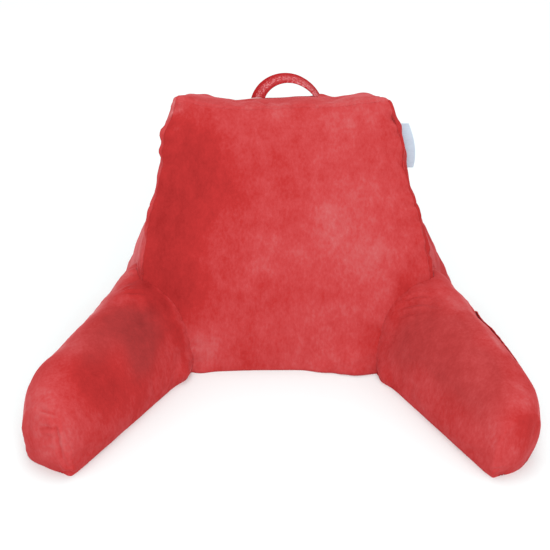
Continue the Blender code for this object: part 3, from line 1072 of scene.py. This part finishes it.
def pile(name, look):
    """A cloth with a pile, whose colour follows how it is brushed and the light and shade painted
    on it.
    """
    cloth = bpy.data.materials.new(name)
    cloth.use_nodes = True
    nodes = cloth.node_tree.nodes
    links = cloth.node_tree.links
    shader = nodes["Principled BSDF"]
    shader.inputs["Roughness"].default_value = look["roughness"]
    shader.inputs["Sheen Weight"].default_value = look["sheen"]
    shader.inputs["Sheen Roughness"].default_value = look["sheen_roughness"]
    shader.inputs["Sheen Tint"].default_value = look["sheen_tint"]
    shader.inputs["Specular IOR Level"].default_value = look["specular"]
    place = nodes.new("ShaderNodeTexCoord")

    def chain(operation, *values):
        step = nodes.new("ShaderNodeMath")
        step.operation = operation
        for socket, value in zip(step.inputs, values):
            if isinstance(value, (int, float)):
                socket.default_value = value
            else:
                links.new(value, socket)
        return step.outputs[0]

    def brushed(scale, detail, rough, stretch=(1.0, 1.0, 1.0)):
        spread = nodes.new("ShaderNodeMapping")
        spread.inputs["Scale"].default_value = stretch
        links.new(place.outputs["Object"], spread.inputs["Vector"])
        marks = nodes.new("ShaderNodeTexNoise")
        marks.inputs["Scale"].default_value = scale
        marks.inputs["Detail"].default_value = detail
        marks.inputs["Roughness"].default_value = rough
        links.new(spread.outputs["Vector"], marks.inputs["Vector"])
        return marks.outputs["Fac"]

    def attribute(title):
        kept = nodes.new("ShaderNodeAttribute")
        kept.attribute_name = title
        return kept.outputs["Fac"]

    layers = [brushed(*layer) for _, *layer in look["layers"]]
    fac = chain("MULTIPLY_ADD", attribute("nap_and_light"), 0.5, 0.5)
    for (strength, *_), layer in zip(look["layers"], layers):
        centred = chain("SUBTRACT", layer, 0.5)
        fac = chain("MULTIPLY_ADD", centred, strength, fac)

    lowest, highest = RAMP_RANGE
    fac = chain("SUBTRACT", fac, lowest)
    fac = chain("DIVIDE", fac, highest - lowest)

    def ramp(stops):
        made = nodes.new("ShaderNodeValToRGB")
        made.color_ramp.interpolation = "EASE" if len(stops) == 2 else "LINEAR"
        while len(made.color_ramp.elements) < len(stops):
            made.color_ramp.elements.new(0.5)
        for element, (position, colour) in zip(made.color_ramp.elements, stops):
            element.position = (position - lowest) / (highest - lowest)
            element.color = (*colour, 1.0)
        links.new(fac, made.inputs["Fac"])
        return made.outputs["Color"]

    colour = ramp(look["stops"])
    if "dull_stops" in look:
        mix = nodes.new("ShaderNodeMix")
        mix.data_type = "RGBA"
        links.new(attribute("dull"), mix.inputs[0])
        links.new(colour, mix.inputs[6])
        links.new(ramp(look["dull_stops"]), mix.inputs[7])
        colour = mix.outputs[2]
    links.new(colour, shader.inputs["Base Color"])

    bump = nodes.new("ShaderNodeBump")
    bump.inputs["Strength"].default_value = look["bump"]
    bump.inputs["Distance"].default_value = PILE_BUMP
    links.new(brushed(*look["bump_layer"]), bump.inputs["Height"])
    links.new(bump.outputs["Normal"], shader.inputs["Normal"])
    return cloth


VELVET = {
    "roughness": 0.95,
    "sheen": 0.30,
    "sheen_roughness": 0.32,
    "sheen_tint": (1.0, 0.32, 0.35, 1.0),
    "specular": 0.06,
    "layers": (
        # strength, scale, detail, roughness, stretch
        (0.40, 16.0, 3.0, 0.50),
        (0.62, 70.0, 4.0, 0.60, (1.0, 1.0, 0.6)),
        (0.42, 320.0, 2.0, 0.60, (1.0, 1.0, 0.45)),
    ),
    # Stops above 1.0 give the pink of the painted sheen bands; the darkest, below 0.0, serve
    # mostly the painted shade along the arms' roots.
    "stops": (
        (-0.4, (0.21, 0.006, 0.006)),
        (0.0, (0.315, 0.019, 0.019)),
        (0.35, (0.395, 0.025, 0.025)),
        (0.65, (0.450, 0.050, 0.052)),
        (0.85, (0.468, 0.080, 0.082)),
        (1.0, (0.486, 0.116, 0.118)),
        (1.5, (0.61, 0.27, 0.28)),
    ),
    "dull_stops": (
        (0.0, (0.235, 0.030, 0.030)),
        (0.5, (0.335, 0.037, 0.037)),
        (1.0, (0.44, 0.065, 0.065)),
    ),
    "bump": 0.35,
    "bump_layer": (420.0, 3.0, 0.6),
}

STRAP = {
    "roughness": 0.9,
    "sheen": 0.45,
    "sheen_roughness": 0.35,
    "sheen_tint": (1.0, 0.6, 0.62, 1.0),
    "specular": 0.2,
    "layers": (
        (0.4, 60.0, 3.0, 0.60),
        (3.2, 430.0, 2.0, 0.70),
    ),
    "stops": (
        (0.0, (0.34, 0.008, 0.010)),
        (0.35, (0.42, 0.020, 0.024)),
        (0.6, (0.45, 0.064, 0.070)),
        (1.0, (0.56, 0.19, 0.205)),
    ),
    "bump": 0.5,
    "bump_layer": (500.0, 2.0, 0.6),
}

TAB = {
    "roughness": 0.55,
    "sheen": 0.1,
    "sheen_roughness": 0.4,
    "sheen_tint": (1.0, 1.0, 1.0, 1.0),
    "specular": 0.4,
    "layers": (
        (0.3, 60.0, 3.0, 0.60),
        (0.5, 900.0, 1.0, 0.50, (0.3, 1.0, 1.0)),
    ),
    "stops": (
        (0.0, (0.36, 0.43, 0.52)),
        (1.0, (0.50, 0.59, 0.68)),
    ),
    "bump": 0.3,
    "bump_layer": (1200.0, 1.0, 0.5, (0.3, 1.0, 1.0)),
}


def brush_and_paint_light(piece):
    """Keep how much lighter or darker and duller each of a piece's points is: partly how its pile
    is brushed, partly painted light and shade.
    """
    tree = surface_tree(piece)
    points = points_of(piece)
    nap_and_light = np.zeros(len(points))
    dull = np.zeros(len(points))
    for x, y, radius, lighter, duller in PATCHES[piece.name]:
        far = np.linalg.norm(points - seen_at(tree, x, y), axis=1)
        patch = np.exp(-((far / radius) ** 3))
        nap_and_light += lighter * patch
        dull += duller * patch
    for lighter, half, line in PAINTED_LIGHT_LINES[piece.name]:
        gap, _ = line_gap(points, [seen_at(tree, *place) for place in line])
        nap_and_light += lighter * np.exp(-((gap / half) ** 3))
    cage = cage_of(piece)
    for axis, side, lighter in PANELS[piece.name]:
        nap_and_light[cage[:, axis] * side > ON_PANEL] += lighter
    keep(piece, "nap_and_light", np.clip(nap_and_light, *NAP_AND_LIGHT_RANGE))
    keep(piece, "dull", np.clip(dull, 0.0, MOST_DULL))


def keep(piece, title, values):
    """Keep a number at each of a piece's points, for its material."""
    kept = piece.data.attributes.new(title, "FLOAT", "POINT")
    kept.data.foreach_set("value", np.asarray(values, np.float32))


# ---- stage

def make_stage():
    """A pale floor, soft studio light and the camera."""
    bpy.ops.object.select_all(action="DESELECT")
    bpy.ops.mesh.primitive_plane_add(size=FLOOR_SIZE, location=(0.0, 0.0, 0.0))
    floor = bpy.context.object
    floor.name = "floor"
    paint = bpy.data.materials.new("pale_floor")
    paint.use_nodes = True
    shader = paint.node_tree.nodes["Principled BSDF"]
    shader.inputs["Base Color"].default_value = FLOOR_COLOUR
    shader.inputs["Roughness"].default_value = 0.9
    floor.data.materials.append(paint)

    world = bpy.data.worlds.new("studio")
    bpy.context.scene.world = world
    world.use_nodes = True
    glow = world.node_tree.nodes["Background"]
    glow.inputs["Color"].default_value = (1.0, 1.0, 1.0, 1.0)
    glow.inputs["Strength"].default_value = STUDIO_GLOW

    for name, spot, size, power in LIGHTS:
        lamp = bpy.data.lights.new(name, "AREA")
        lamp.shape = "SQUARE"
        lamp.size = size
        lamp.energy = power
        light = bpy.data.objects.new(name, lamp)
        bpy.context.scene.collection.objects.link(light)
        light.location = spot
        aim = LIGHTS_AIM - Vector(spot)
        light.rotation_euler = aim.to_track_quat("-Z", "Y").to_euler()

    lens = bpy.data.cameras.new("picture_camera")
    lens.sensor_width = SENSOR * 1000.0
    lens.lens = FOCAL_PIXELS / PICTURE * SENSOR * 1000.0
    camera = bpy.data.objects.new("picture_camera", lens)
    bpy.context.scene.collection.objects.link(camera)
    camera.location = EYE
    camera.rotation_euler = (math.pi / 2.0 - EYE_DOWN, 0.0, 0.0)
    bpy.context.scene.camera = camera
    bpy.context.scene.view_settings.view_transform = "Standard"


def finish_piece(piece, node, finish):
    """Keep a piece above the floor, give it its material, hang it on the root body and hide the
    CAD part of the node that it stands for.
    """
    points = points_of(piece)
    points[:, 2] = np.maximum(points[:, 2], 0.0)
    set_points(piece, points)
    piece.data.materials.clear()
    piece.data.materials.append(finish)
    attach(piece, "root")
    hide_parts(node)


def main():
    make_stage()
    back = make_back()
    sew_back(back)
    dress(back)
    arms = []
    for name, _, *lie in ARMS:
        arm = make_arm(name, lie)
        sew_arm(arm)
        dress(arm)
        arms.append(arm)
    lines = [root_line(arm, back) for arm in arms]
    for arm, line in zip(arms, lines):
        gather(arm, line, 21.0)
        gather(back, line, 21.0)
    for arm in arms:
        trim_to(arm, back)
    pocket = make_pocket(arms[1], ARMS[1][2:])
    strap = make_strap(back)
    tab = make_tab(back)

    red = pile("red_velvet", VELVET)
    cushions = [back, *arms]
    for piece, node in zip(cushions, ["backrest"] + [node for _, node, *_ in ARMS]):
        brush_and_paint_light(piece)
        finish_piece(piece, node, red)
    finish_piece(pocket, "side_pocket", red)
    finish_piece(strap, "carry_handle", pile("strap_velvet", STRAP))
    finish_piece(tab, "side_label", pile("pale_satin", TAB))


main()
